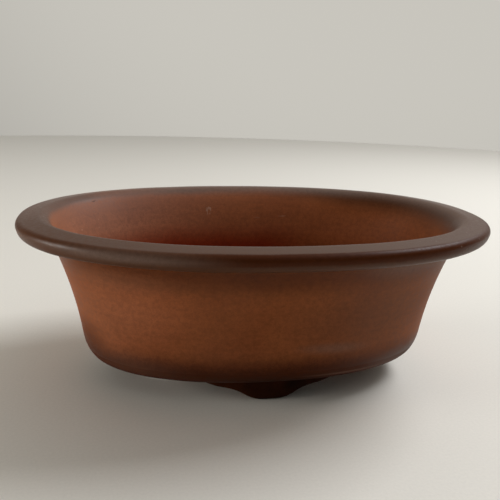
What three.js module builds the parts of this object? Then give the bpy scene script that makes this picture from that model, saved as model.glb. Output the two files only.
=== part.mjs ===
// Oval bonsai pot of unglazed clay: a flared wall in two halves between a heavy lip and a floor slab,
// with a coil in the inside corner and three cloud-shaped feet. Every piece is luted to the next on a
// shared face. Millimetres, +Z up, +X along the pot; the origin is under its middle, on the table.
import * as THREE from 'three';

// Outline of the rim, seen from above
const rimLength = 260;
const rimWidth = 190;
// Where the outline crosses its box's diagonal: 0.707 is an ellipse and 1 a rectangle
const fullnessShare = 0.729;

// Heights of the whole pot and of its underside
const potHeight = 92;
const footHeight = 12;

// Lip: a crowned top, a rounded edge over a face that leans in and turns under, and a soft mouth that
// starts at its own inset and rolls into the wall
const lipThickness = 10;
const lipOverhang = 17;
const lipCrown = 1.1;
const lipSlopeDegrees = 8;
const lipLeanDegrees = 17;
const lipEdgeRadius = 3.3;
const lipUnderRadius = 5;
const mouthInset = 11.4;
const neckFillet = 1.5;
// How much of the wall's inner curve the roll of the mouth takes up
const mouthShare = 0.11;

// Wall: insets are measured level, inwards from the rim's outermost edge
const wallThickness = 6;
const wallFootThickness = 7.5;
const flareInset = 28.3;
const flareRise = 41.5;
const cornerInset = 32.3;
const cornerRise = 15;
const cornerRun = 10.5;

// Floor slab, its drains and the holes for tie wires
const slabThickness = 8;
const drainDiameter = 22;
const drainSpacing = 84;
const drainBevel = 1;
const wireHoleDiameter = 5;
const wireHoleSpacingAlong = 40;
const wireHoleSpacingAcross = 44;

// Coil pressed into the inside corner
const coilHeight = 7;
const coilWidth = 10;

// Cloud feet, measured along the bent outer face
const footLength = 71;
const toeLength = 16;
const footDepth = 12;
const footSetback = 0.3;
const soleInset = 0.4;
const footEdge = 1.5;
// Control points of a foot's lower edge, from the toe's end to the wing's tip: how far along the wing,
// and how far up the foot. The toe's corner ends at the first, the cove at the third, the wing at the last.
const cloudShares = [[0.164, 0.208], [0.364, 0.517], [0.6, 0.6], [0.836, 0.683], [1, 0.91]];
// How much of a thin wing's height its rounded edge may take, and how far its middle is pulled in
const edgeHeightShare = 0.45;
const edgeBulgeShare = 0.3;

// How finely the curves are stepped
const stepsPerQuarter = 26;
const lipEdgeSteps = 6;
const lipUnderSteps = 4;
const lipCrownSteps = 3;
const mouthSteps = 6;
const filletSteps = 3;
const wallSteps = 7;
const cornerSteps = 6;
const coilSteps = 5;
const drainSteps = 28;
const wireHoleSteps = 12;
const toeSteps = 1;
const toeCornerSteps = 4;
const coveSteps = 5;
const wingSteps = 5;
const stridesPerQuarter = 400;

// Heights and places that the sizes above set
const QUARTERS = 4;
const frontQuarter = QUARTERS - 1;
const lipUnderside = potHeight - lipThickness;
const floorHeight = footHeight + slabThickness;
const flareHeight = footHeight + flareRise;
const cornerHeight = footHeight + cornerRise;

// Oval outline

// A point of the oval that lies a given inset inside the rim; a quarter turn is one unit, from +X to +Y.
// Each quarter is worked out from sines that are exactly zero on the axes, so pieces meet true there.
function ovalPoint(quarters, inset) {
  const quadrant = Math.floor(quarters);
  const part = quarters - quadrant;
  const rise = Math.sin(part * Math.PI / 2);
  const fall = Math.sin((1 - part) * Math.PI / 2);
  const turns = [[fall, rise], [-rise, fall], [-fall, -rise], [rise, -fall]];
  const [cosine, sine] = turns[((quadrant % QUARTERS) + QUARTERS) % QUARTERS];

  const power = Math.log(fullnessShare) / Math.log(Math.SQRT1_2);
  const along = Math.sign(cosine) * Math.abs(cosine) ** power;
  const across = Math.sign(sine) * Math.abs(sine) ** power;
  const normal = new THREE.Vector2(
    Math.sign(cosine) * Math.abs(cosine) ** (2 - power) / rimLength,
    Math.sign(sine) * Math.abs(sine) ** (2 - power) / rimWidth,
  ).normalize();
  return new THREE.Vector2(
    along * rimLength / 2 - normal.x * inset,
    across * rimWidth / 2 - normal.y * inset,
  );
}

// Length of the whole oval at a given inset
function ovalLength(inset) {
  const strides = QUARTERS * stridesPerQuarter;
  const points = Array.from({ length: strides + 1 }, (_, i) => ovalPoint(i / stridesPerQuarter, inset));
  return points.slice(1).reduce((sum, point, i) => sum + point.distanceTo(points[i]), 0);
}

// The quarter turns that lead a given distance along the oval from a starting place
function quartersAlong(start, distance, inset) {
  const stride = (distance < 0 ? -1 : 1) / stridesPerQuarter;
  let quarters = start;
  let remaining = Math.abs(distance);
  for (;;) {
    const step = ovalPoint(quarters, inset).distanceTo(ovalPoint(quarters + stride, inset));
    if (step >= remaining) return quarters + stride * remaining / step;
    remaining -= step;
    quarters += stride;
  }
}

// Profile of the pot, as points (inset, height)

const at = (inset, height) => new THREE.Vector2(inset, height);

function stepsOf(curve, steps, from = 0, to = 1) {
  return Array.from({ length: steps + 1 }, (_, i) => curve.getPoint(from + (to - from) * i / steps));
}

// Cuts a run of points that goes downwards at a level joint, and puts the cut point in both parts
function cutAt(points, height) {
  const index = points.findIndex((point) => point.y <= height);
  if (points[index].y === height) return [points.slice(0, index + 1), points.slice(index)];
  const [above, below] = [points[index - 1], points[index]];
  const cut = above.clone().lerp(below, (above.y - height) / (above.y - below.y));
  cut.y = height;
  return [[...points.slice(0, index), cut], [cut, ...points.slice(index)]];
}

// Outer face, from under the lip to the level underside: neck fillet, flared wall, rounded corner
function outerFace() {
  const wallTop = at(lipOverhang, lipUnderside - neckFillet);
  const flare = at(flareInset, flareHeight);
  const wallEnd = at(cornerInset, cornerHeight);
  const neck = new THREE.QuadraticBezierCurve(
    at(lipOverhang - neckFillet, lipUnderside), at(lipOverhang, lipUnderside), wallTop);
  const wall = new THREE.QuadraticBezierCurve(wallTop, flare, wallEnd);
  const lean = (cornerInset - flareInset) / (flareHeight - cornerHeight);
  const corner = at(cornerInset + lean * cornerRise, footHeight);
  const round = new THREE.QuadraticBezierCurve(wallEnd, corner, at(corner.x + cornerRun, footHeight));
  return [
    ...stepsOf(neck, filletSteps),
    ...stepsOf(wall, wallSteps).slice(1),
    ...stepsOf(round, cornerSteps).slice(1),
  ];
}

// Inner face, from the top of the lip over the mouth and down the wall to the underside's height
function innerFace() {
  const wallTop = at(lipOverhang + wallThickness, lipUnderside - neckFillet);
  const flare = at(flareInset + (wallThickness + wallFootThickness) / 2, flareHeight);
  const wallEnd = at(cornerInset + wallFootThickness, cornerHeight);
  const wall = new THREE.QuadraticBezierCurve(wallTop, flare, wallEnd);

  const rollEnd = wall.getPoint(mouthShare);
  const slope = wall.getTangent(mouthShare);
  const rollCorner = at(rollEnd.x + slope.x * (potHeight - rollEnd.y) / slope.y, potHeight);
  const mouth = new THREE.QuadraticBezierCurve(at(mouthInset, potHeight), rollCorner, rollEnd);

  const lean = (wallEnd.x - flare.x) / (flareHeight - cornerHeight);
  const foot = at(wallEnd.x + lean * cornerRise, footHeight);
  return [
    ...stepsOf(mouth, mouthSteps),
    ...stepsOf(wall, wallSteps, mouthShare).slice(1),
    foot,
  ];
}

const outer = outerFace();
const inner = innerFace();
const [outerWall, outerSlab] = cutAt(outer, floorHeight);
const [innerMouth, innerBelow] = cutAt(inner, lipUnderside);
const [innerWallAboveCoil, innerFoot] = cutAt(innerBelow, floorHeight + coilHeight);
const [innerWallBesideCoil] = cutAt(innerFoot, floorHeight);
const innerWall = [...innerWallAboveCoil, ...innerWallBesideCoil.slice(1)];
const flatInset = outer.at(-1).x;

// Skins

// One closed skin, put together from rows of points; each row is the piece's section one step further
// round, and its points run anticlockwise with the outside of the pot on the right.
class Skin {
  constructor() {
    this.points = [];
    this.triangles = [];
  }

  row(points) {
    const first = this.points.length;
    this.points.push(...points);
    return points.map((_, i) => first + i);
  }

  // Covers the strip between two rows. Each diagonal falls from the upper point of the first row to the
  // lower point of the second, so two pieces that share a curved face split it alike.
  band(firstRow, secondRow, closed) {
    const strips = closed ? firstRow.length : firstRow.length - 1;
    for (let i = 0; i < strips; i += 1) {
      const j = (i + 1) % firstRow.length;
      const [a, b, c, d] = [firstRow[i], secondRow[i], secondRow[j], firstRow[j]];
      if (this.points[a].z >= this.points[d].z) this.triangles.push(a, b, c, a, c, d);
      else this.triangles.push(a, b, d, b, c, d);
    }
  }

  // Covers a flat face; each loop is a list of [vertex, u, v], the outline first and then any holes
  face(loops, turned) {
    const corners = loops.flat().map(([vertex]) => vertex);
    const [outline, ...holes] = loops.map((loop) => loop.map(([, u, v]) => new THREE.Vector2(u, v)));
    for (const triangle of THREE.ShapeUtils.triangulateShape(outline, holes)) {
      const vertices = triangle.map((corner) => corners[corner]);
      this.triangles.push(...(turned ? vertices.reverse() : vertices));
    }
  }

  mesh(name, material) {
    const geometry = new THREE.BufferGeometry().setFromPoints(this.points);
    geometry.setIndex(this.triangles);
    geometry.computeVertexNormals();
    const mesh = new THREE.Mesh(geometry, material);
    mesh.name = name;
    return mesh;
  }
}

// A profile's points, placed at one station of the oval
function placed(profile, quarters) {
  return profile.map(({ x, y }) => {
    const point = ovalPoint(quarters, x);
    return new THREE.Vector3(point.x, point.y, y);
  });
}

// Sweeps a closed profile round the oval between two stations; a full turn closes on itself
function sweep(profile, firstQuarter, lastQuarter) {
  const skin = new Skin();
  const steps = (lastQuarter - firstQuarter) * stepsPerQuarter;
  const whole = lastQuarter - firstQuarter === QUARTERS;
  const rows = [];
  for (let i = 0; i < (whole ? steps : steps + 1); i += 1) {
    rows.push(skin.row(placed(profile, firstQuarter + i / stepsPerQuarter)));
  }
  for (let i = 0; i < steps; i += 1) skin.band(rows[i], rows[(i + 1) % rows.length], true);
  if (!whole) {
    const section = (row) => [row.map((vertex, i) => [vertex, -profile[i].x, profile[i].y])];
    skin.face(section(rows[0]), false);
    skin.face(section(rows.at(-1)), true);
  }
  return skin;
}

// Lip

// Points of a rounding that starts over its centre and turns outwards and down
function roundOf(centre, radius, from, to, steps) {
  return Array.from({ length: steps + 1 }, (_, i) => {
    const angle = from + (to - from) * i / steps;
    return at(centre.x - radius * Math.sin(angle), centre.y + radius * Math.cos(angle));
  });
}

function lipProfile() {
  const slope = THREE.MathUtils.degToRad(lipSlopeDegrees);
  const lean = THREE.MathUtils.degToRad(lipLeanDegrees);
  const side = Math.PI / 2 + lean;
  const edgeCentre = at(lipEdgeRadius, potHeight - lipCrown - lipEdgeRadius * Math.cos(slope));
  const edge = roundOf(edgeCentre, lipEdgeRadius, slope, side, lipEdgeSteps);

  const faceTop = edge.at(-1);
  const faceFoot = lipUnderside + lipUnderRadius * (1 - Math.sin(lean));
  const faceRun = (faceTop.y - faceFoot) * Math.tan(lean);
  const underCentre = at(
    faceTop.x + faceRun + lipUnderRadius * Math.cos(lean), lipUnderside + lipUnderRadius);
  const under = roundOf(underCentre, lipUnderRadius, side, Math.PI, lipUnderSteps);

  const crest = at(edge[0].x + lipCrown / Math.tan(slope), potHeight);
  const crown = new THREE.QuadraticBezierCurve(edge[0], crest, innerMouth[0]);
  return [
    ...under.toReversed(),
    ...edge.toReversed(),
    ...stepsOf(crown, lipCrownSteps).slice(1),
    ...innerMouth.slice(1),
  ];
}

// Wall halves and the coil behind their foot

function wallProfile() {
  return [...outerWall.toReversed(), ...innerWall];
}

function coilProfile() {
  const top = innerWallBesideCoil[0];
  const foot = innerWallBesideCoil.at(-1);
  const cove = new THREE.QuadraticBezierCurve(top, foot, at(foot.x + coilWidth, foot.y));
  return [...innerWallBesideCoil.toReversed(), ...stepsOf(cove, coilSteps).slice(1)];
}

// Floor slab with its holes

function ringAround(centre, radius, steps, height) {
  return Array.from({ length: steps }, (_, i) => {
    const angle = 2 * Math.PI * i / steps;
    return new THREE.Vector3(centre.x + radius * Math.cos(angle), centre.y + radius * Math.sin(angle), height);
  });
}

function holePlaces() {
  const drain = drainDiameter / 2;
  const wire = wireHoleDiameter / 2;
  const bevelled = [
    [drain + drainBevel, floorHeight], [drain, floorHeight - drainBevel],
    [drain, footHeight + drainBevel], [drain + drainBevel, footHeight],
  ];
  const plain = [[wire, floorHeight], [wire, footHeight]];
  const holes = [];
  for (const side of [-1, 1]) {
    holes.push({ centre: new THREE.Vector2(side * drainSpacing / 2, 0), steps: drainSteps, levels: bevelled });
    for (const end of [-1, 1]) {
      const centre = new THREE.Vector2(end * wireHoleSpacingAlong / 2, side * wireHoleSpacingAcross / 2);
      holes.push({ centre, steps: wireHoleSteps, levels: plain });
    }
  }
  return holes;
}

function floorSlab() {
  const skin = new Skin();
  const side = outerSlab.toReversed();
  const stations = QUARTERS * stepsPerQuarter;
  const rim = Array.from({ length: stations }, (_, i) => skin.row(placed(side, i / stepsPerQuarter)));
  rim.forEach((row, i) => skin.band(row, rim[(i + 1) % stations], false));

  const flat = (vertex) => [vertex, skin.points[vertex].x, skin.points[vertex].y];
  const topLoops = [rim.map((row) => flat(row.at(-1)))];
  const bottomLoops = [rim.map((row) => flat(row[0]))];
  for (const { centre, steps, levels } of holePlaces()) {
    const rings = levels.map(([radius, height]) => skin.row(ringAround(centre, radius, steps, height)));
    for (let i = 0; i < steps; i += 1) {
      const next = (i + 1) % steps;
      skin.band(rings.map((ring) => ring[i]), rings.map((ring) => ring[next]), false);
    }
    topLoops.push(rings[0].map(flat));
    bottomLoops.push(rings.at(-1).map(flat));
  }
  skin.face(topLoops, false);
  skin.face(bottomLoops, true);
  return skin;
}

// Cloud feet, spaced evenly along the oval from the middle of the front

const footLine = flatInset + footSetback;

// Lower edge of half a foot, as points (distance from the middle, height): level toe, rounded toe corner,
// cove and wing
function cloudEdge() {
  const toeHalf = toeLength / 2;
  const wing = footLength / 2 - toeHalf;
  const [cornerEnd, coveBend, coveEnd, wingBend, wingTip] = cloudShares.map(
    ([run, rise]) => at(toeHalf + run * wing, rise * footHeight));
  const toeEnd = at(2 * toeHalf - cornerEnd.x, 0);
  const toe = new THREE.LineCurve(at(0, 0), toeEnd);
  const toeCorner = new THREE.QuadraticBezierCurve(toeEnd, at(toeHalf, 0), cornerEnd);
  const cove = new THREE.QuadraticBezierCurve(cornerEnd, coveBend, coveEnd);
  const tip = new THREE.QuadraticBezierCurve(coveEnd, wingBend, wingTip);
  return [
    ...stepsOf(toe, toeSteps),
    ...stepsOf(toeCorner, toeCornerSteps).slice(1),
    ...stepsOf(cove, coveSteps).slice(1),
    ...stepsOf(tip, wingSteps).slice(1),
  ];
}

// Section across a foot where its lower edge is at a given height, with both lower edges rounded
function footSection(lowerEdge) {
  const back = footLine + footDepth;
  const drawnIn = soleInset * (1 - lowerEdge / footHeight);
  const edge = Math.min(footEdge, (footHeight - lowerEdge) * edgeHeightShare);
  const bulge = edge * edgeBulgeShare;
  return [
    at(footLine, footHeight),
    at(back, footHeight),
    at(back - drawnIn, lowerEdge + edge),
    at(back - drawnIn - bulge, lowerEdge + bulge),
    at(back - drawnIn - edge, lowerEdge),
    at(footLine + drawnIn + edge, lowerEdge),
    at(footLine + drawnIn + bulge, lowerEdge + bulge),
    at(footLine + drawnIn, lowerEdge + edge),
  ];
}

function cloudFoot(middleQuarter) {
  const half = cloudEdge();
  const mirrored = half.slice(1).map((point) => at(-point.x, point.y)).toReversed();
  const skin = new Skin();
  const stations = [...mirrored, ...half].map(({ x, y }) => {
    const section = footSection(y);
    const quarters = quartersAlong(middleQuarter, x, footLine);
    return { section, row: skin.row(placed(section, quarters)) };
  });
  for (let i = 1; i < stations.length; i += 1) skin.band(stations[i - 1].row, stations[i].row, true);
  const end = ({ section, row }) => [row.map((vertex, i) => [vertex, -section[i].x, section[i].y])];
  skin.face(end(stations[0]), false);
  skin.face(end(stations.at(-1)), true);
  return skin;
}

// Clays, each piece with its own material

const clay = (colour, roughness) => new THREE.MeshStandardMaterial({ color: colour, roughness, metalness: 0 });
const lipClay = () => clay(0x5f5048, 0.62);
const wallClay = () => clay(0x8f5539, 0.68);
const coilClay = () => clay(0x7c4630, 0.74);
const slabClay = () => clay(0x74442f, 0.74);
const footClay = () => clay(0x54372b, 0.72);

const pot = new THREE.Group();
pot.add(
  sweep(lipProfile(), 0, QUARTERS).mesh('rim_lip', lipClay()),
  sweep(wallProfile(), 0, QUARTERS / 2).mesh('wall_back', wallClay()),
  sweep(wallProfile(), QUARTERS / 2, QUARTERS).mesh('wall_front', wallClay()),
  sweep(coilProfile(), 0, QUARTERS).mesh('corner_coil', coilClay()),
  floorSlab().mesh('base_slab', slabClay()),
);
const feet = { foot_front: 0, foot_right: 1, foot_left: -1 };
const footSpacing = ovalLength(footLine) / Object.keys(feet).length;
for (const [name, place] of Object.entries(feet)) {
  const middle = quartersAlong(frontQuarter, place * footSpacing, footLine);
  pot.add(cloudFoot(middle).mesh(name, footClay()));
}

export default pot;
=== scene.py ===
"""Oval bonsai pot of unglazed clay, dressed for the camera.

The pot is built as the potter builds it: a lip, two wall halves, a coil in the inside corner, a floor
slab and three cloud feet. Each piece is drawn as an unrolled strip (quarter turns round the oval, inset
from the rim, height) that a Geometry Nodes tree bends round the oval and makes slightly uneven.
"""

import math

import bmesh
import bpy
import numpy as np
from mathutils import Matrix, Vector
from mathutils.geometry import delaunay_2d_cdt


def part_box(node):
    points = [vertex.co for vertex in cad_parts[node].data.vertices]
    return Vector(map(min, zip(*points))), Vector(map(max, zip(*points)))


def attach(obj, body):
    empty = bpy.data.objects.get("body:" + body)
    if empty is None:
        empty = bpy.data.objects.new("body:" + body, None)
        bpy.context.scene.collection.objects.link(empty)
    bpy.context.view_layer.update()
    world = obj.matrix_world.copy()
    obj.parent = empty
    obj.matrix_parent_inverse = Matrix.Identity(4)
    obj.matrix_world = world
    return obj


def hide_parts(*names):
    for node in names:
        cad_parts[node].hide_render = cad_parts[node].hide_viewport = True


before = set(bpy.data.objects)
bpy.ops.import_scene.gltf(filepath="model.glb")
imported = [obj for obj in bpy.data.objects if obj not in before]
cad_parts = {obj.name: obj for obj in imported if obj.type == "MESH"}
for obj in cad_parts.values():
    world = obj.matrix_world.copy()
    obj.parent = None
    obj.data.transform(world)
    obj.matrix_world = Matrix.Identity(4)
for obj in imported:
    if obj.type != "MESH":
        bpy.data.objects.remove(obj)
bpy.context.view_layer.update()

MM = 0.001
BODY = "root"

# Sizes taken from the frame

RIM_LOW, RIM_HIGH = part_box("rim_lip")
WALL_LOW, WALL_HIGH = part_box("wall_front")
SLAB_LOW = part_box("base_slab")[0]

RIM_LENGTH = RIM_HIGH.x - RIM_LOW.x
RIM_WIDTH = RIM_HIGH.y - RIM_LOW.y
POT_HEIGHT = RIM_HIGH.z
LIP_UNDERSIDE = WALL_HIGH.z
FLOOR_HEIGHT = WALL_LOW.z
FOOT_HEIGHT = SLAB_LOW.z

# The potter's own sizes

FULLNESS = 0.729
OUTLINE_POWER = math.log(FULLNESS) / math.log(math.sqrt(0.5))
LIP_CROWN = 1.1 * MM
LIP_SLOPE = math.radians(8)
LIP_LEAN = math.radians(17)
LIP_EDGE_RADIUS = 3.3 * MM
LIP_UNDER_RADIUS = 5 * MM
LIP_OVERHANG = 17 * MM
NECK_FILLET = 1.5 * MM
MOUTH_INSET = 11.4 * MM
MOUTH_SHARE = 0.11
WALL_THICKNESS = 6 * MM
WALL_FOOT_THICKNESS = 7.5 * MM
FLARE_INSET = 28.3 * MM
FLARE_HEIGHT = FOOT_HEIGHT + 41.5 * MM
CORNER_INSET = 32.3 * MM
CORNER_RISE = 15 * MM
CORNER_RUN = 10.5 * MM
CORNER_HEIGHT = FOOT_HEIGHT + CORNER_RISE
COIL_HEIGHT = 7 * MM
COIL_WIDTH = 10 * MM

DRAIN_RADIUS = 11 * MM
DRAIN_BEVEL = 1 * MM
DRAIN_SPACING = 84 * MM
WIRE_HOLE_RADIUS = 2.5 * MM
WIRE_HOLE_BEVEL = 0.5 * MM
WIRE_HOLE_SPACING = (40 * MM, 44 * MM)

FOOT_LENGTH = 71 * MM
TOE_LENGTH = 16 * MM
FOOT_DEPTH = 12 * MM
FOOT_SETBACK = 0.3 * MM
FOOT_DRAFT = 0.4 * MM
FOOT_EDGE = 1.5 * MM
FOOT_EDGE_SHARE = 0.45
FEET = (("front", 0), ("right", 1), ("left", -1))
CLOUD_SHARES = ((0.164, 0.208), (0.364, 0.517), (0.6, 0.6), (0.836, 0.683), (1, 0.91))

# How finely the forms are stepped

STATIONS_PER_QUARTER = 105
NECK_STEPS, WALL_STEPS, CORNER_STEPS = 8, 44, 20
MOUTH_STEPS, INNER_WALL_STEPS, COVE_STEPS = 24, 40, 14
LIP_EDGE_STEPS, LIP_TURN_STEPS, LIP_CROWN_STEPS, LIP_UNDERSIDE_STEPS = 18, 14, 12, 8
TOE_STEPS, TOE_CORNER_STEPS, FOOT_COVE_STEPS, WING_STEPS = 8, 8, 16, 14
FOOT_SECTION_STEPS = 5
DRAIN_POINTS, DRAIN_BEVEL_STEPS = 64, 4
WIRE_HOLE_POINTS, WIRE_HOLE_BEVEL_STEPS = 28, 3
FACE_GRID = 5 * MM
OVAL_STEPS = 3200
EDGE_STEPS = 1600
SHARP_ANGLE = math.radians(40)

# The unevenness of a pot made by hand

UNEVENNESS = 0.12 * MM
UNEVEN_REACH = 4.0
UNEVEN_SCALE = 24.0
UNEVEN_SEED = 7.3


# Section of the pot, as rows of (inset, height)


def curve(a, b, c, steps, start=0.0):
    """Points of a quadratic curve from a to c that leans towards b."""
    t = np.linspace(start, 1, steps + 1)[:, None]
    return (1 - t) ** 2 * np.array(a) + 2 * t * (1 - t) * np.array(b) + t * t * np.array(c)


def cut_at(points, height):
    """Splits a falling run of points at a level joint, with the cut point in both parts."""
    index = int(np.argmax(points[:, 1] <= height))
    above, below = points[index - 1], points[index]
    share = (above[1] - height) / (above[1] - below[1])
    cut = above + share * (below - above)
    if share >= 1:
        return points[: index + 1], points[index:]
    return np.vstack([points[:index], cut]), np.vstack([cut, points[index:]])


def outer_face():
    """From under the lip down the flared wall and round the corner to the flat underside."""
    wall_top = (LIP_OVERHANG, LIP_UNDERSIDE - NECK_FILLET)
    wall_end = (CORNER_INSET, CORNER_HEIGHT)
    lean = (CORNER_INSET - FLARE_INSET) / (FLARE_HEIGHT - CORNER_HEIGHT)
    corner = (CORNER_INSET + lean * CORNER_RISE, FOOT_HEIGHT)
    neck_start = (LIP_OVERHANG - NECK_FILLET, LIP_UNDERSIDE)
    neck = curve(neck_start, (LIP_OVERHANG, LIP_UNDERSIDE), wall_top, NECK_STEPS)
    wall = curve(wall_top, (FLARE_INSET, FLARE_HEIGHT), wall_end, WALL_STEPS)
    round_corner = curve(wall_end, corner, (corner[0] + CORNER_RUN, FOOT_HEIGHT), CORNER_STEPS)
    return np.vstack([neck, wall[1:], round_corner[1:]])


def inner_face():
    """From the top of the lip over the mouth and down the wall to the height of the underside."""
    top = np.array((LIP_OVERHANG + WALL_THICKNESS, LIP_UNDERSIDE - NECK_FILLET))
    flare = np.array((FLARE_INSET + (WALL_THICKNESS + WALL_FOOT_THICKNESS) / 2, FLARE_HEIGHT))
    end = np.array((CORNER_INSET + WALL_FOOT_THICKNESS, CORNER_HEIGHT))
    wall = curve(top, flare, end, INNER_WALL_STEPS, MOUTH_SHARE)
    slope = (1 - MOUTH_SHARE) * (flare - top) + MOUTH_SHARE * (end - flare)
    roll_corner = (wall[0][0] + slope[0] * (POT_HEIGHT - wall[0][1]) / slope[1], POT_HEIGHT)
    mouth = curve((MOUTH_INSET, POT_HEIGHT), roll_corner, wall[0], MOUTH_STEPS)
    lean = (end[0] - flare[0]) / (FLARE_HEIGHT - CORNER_HEIGHT)
    foot = (end[0] + lean * CORNER_RISE, FOOT_HEIGHT)
    return np.vstack([mouth, wall[1:], [foot]])


def arc(centre, radius, first, last, steps):
    """An arc that starts and ends at angles from straight up, turning outwards."""
    angle = np.linspace(first, last, steps + 1)
    return np.column_stack([centre[0] - radius * np.sin(angle), centre[1] + radius * np.cos(angle)])


def lip_bead():
    """The lip's outer side, from its underside round a leaning face to its crowned top."""
    edge_height = POT_HEIGHT - LIP_CROWN - LIP_EDGE_RADIUS * math.cos(LIP_SLOPE)
    face = math.pi / 2 + LIP_LEAN
    edge = arc((LIP_EDGE_RADIUS, edge_height), LIP_EDGE_RADIUS, LIP_SLOPE, face, LIP_EDGE_STEPS)
    turned = LIP_UNDERSIDE + LIP_UNDER_RADIUS * (1 - math.sin(LIP_LEAN))
    inwards = edge[-1][0] + (edge[-1][1] - turned) * math.tan(LIP_LEAN)
    middle = (inwards + LIP_UNDER_RADIUS * math.cos(LIP_LEAN), LIP_UNDERSIDE + LIP_UNDER_RADIUS)
    under = arc(middle, LIP_UNDER_RADIUS, face, math.pi, LIP_TURN_STEPS)
    crest = (edge[0][0] + LIP_CROWN / math.tan(LIP_SLOPE), POT_HEIGHT)
    crown = curve(edge[0], crest, (MOUTH_INSET, POT_HEIGHT), LIP_CROWN_STEPS)
    return np.vstack([under[::-1], edge[::-1], crown[1:]])


OUTER_WALL, OUTER_SLAB = cut_at(outer_face(), FLOOR_HEIGHT)
INNER_MOUTH, INNER_BELOW = cut_at(inner_face(), LIP_UNDERSIDE)
INNER_UPPER, INNER_LOWER = cut_at(INNER_BELOW, FLOOR_HEIGHT + COIL_HEIGHT)
INNER_COIL = cut_at(INNER_LOWER, FLOOR_HEIGHT)[0]
INNER_WALL = np.vstack([INNER_UPPER, INNER_COIL[1:]])
FLAT_INSET = OUTER_SLAB[-1][0]
COVE = curve(INNER_COIL[0], INNER_COIL[-1], INNER_COIL[-1] + (COIL_WIDTH, 0), COVE_STEPS)

LIP_BEAD = lip_bead()
LIP_FLAT = np.linspace(OUTER_WALL[0], LIP_BEAD[0], LIP_UNDERSIDE_STEPS + 1)
LIP_SKIN = np.vstack([LIP_FLAT[:-1], LIP_BEAD, INNER_MOUTH[1:]])
# The whole visible section in one line, from the flat underside round the lip to the floor
SECTION = np.vstack([
    OUTER_SLAB[::-1], OUTER_WALL[::-1][1:], LIP_SKIN[1:], INNER_UPPER[1:], COVE[1:],
])


def run_lengths(points):
    """How far along the section each of its points lies."""
    return np.concatenate([[0], np.cumsum(np.linalg.norm(np.diff(points, axis=0), axis=1))])


SECTION_RUNS = run_lengths(SECTION)


def run_at(points):
    """The run of the section's point nearest to each point, so that colours carry on over the joints."""
    gaps = np.linalg.norm(SECTION[None] - np.asarray(points)[:, None], axis=2)
    return SECTION_RUNS[gaps.argmin(axis=1)]


def run_of(point):
    """The run of one point of the section."""
    return float(run_at([point])[0])


# Oval outline, in quarter turns from the right

FRONT = 3


def oval(quarters, inset):
    """A point of the oval that lies that far inside the rim, in metres."""
    angle = quarters * math.pi / 2
    cosine, sine = math.cos(angle), math.sin(angle)

    def shaped(value, power):
        return math.copysign(abs(value) ** power, value)

    normal = Vector((
        shaped(cosine, 2 - OUTLINE_POWER) / RIM_LENGTH, shaped(sine, 2 - OUTLINE_POWER) / RIM_WIDTH,
    )).normalized()
    edge = Vector((
        shaped(cosine, OUTLINE_POWER) * RIM_LENGTH / 2, shaped(sine, OUTLINE_POWER) * RIM_WIDTH / 2,
    ))
    return edge - normal * inset


def quarters_along(middle, distances, inset):
    """The quarter turns that lead each distance along the oval from its middle station."""
    steps = np.linspace(-2, 2, OVAL_STEPS + 1)
    points = np.array([oval(middle + step, inset) for step in steps])
    travelled = run_lengths(points)
    travelled -= travelled[len(steps) // 2]
    return middle + np.interp(distances, travelled, steps)


# Node trees


def add(tree, kind, *inputs, **settings):
    """Adds a node, gives it settings, and fills its first inputs with values or with other outputs."""
    node = tree.nodes.new(kind)
    for name, value in settings.items():
        setattr(node, name, value)
    for socket, value in zip(node.inputs, inputs):
        fill(tree, socket, value)
    return node


def fill(tree, socket, value):
    """Puts a value in a socket, or links an output to it; None leaves it alone."""
    if isinstance(value, bpy.types.NodeSocket):
        tree.links.new(value, socket)
    elif value is not None:
        socket.default_value = value


def fill_named(tree, node, values):
    """Fills a node's inputs by name and gives its outputs."""
    for label, value in values.items():
        fill(tree, node.inputs[label], value)
    return node.outputs


def math_node(tree, operation, *inputs):
    """The result of a Math node."""
    return add(tree, "ShaderNodeMath", *inputs, operation=operation).outputs[0]


def times(tree, product, *factors):
    """The product of values or masks."""
    for factor in factors:
        product = math_node(tree, "MULTIPLY", product, factor)
    return product


def vector_node(tree, operation, *inputs):
    """The result of a Vector Math node."""
    return add(tree, "ShaderNodeVectorMath", *inputs, operation=operation).outputs[0]


def scaled(tree, vector, factor):
    """A vector made longer or shorter."""
    node = add(tree, "ShaderNodeVectorMath", vector, operation="SCALE")
    return fill_named(tree, node, {"Scale": factor})[0]


def new_socket(tree, label, kind, value=None, way="INPUT"):
    """Gives a tree another named input or output."""
    socket = tree.interface.new_socket(label, in_out=way, socket_type="NodeSocket" + kind)
    if value is not None:
        socket.default_value = value


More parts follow.
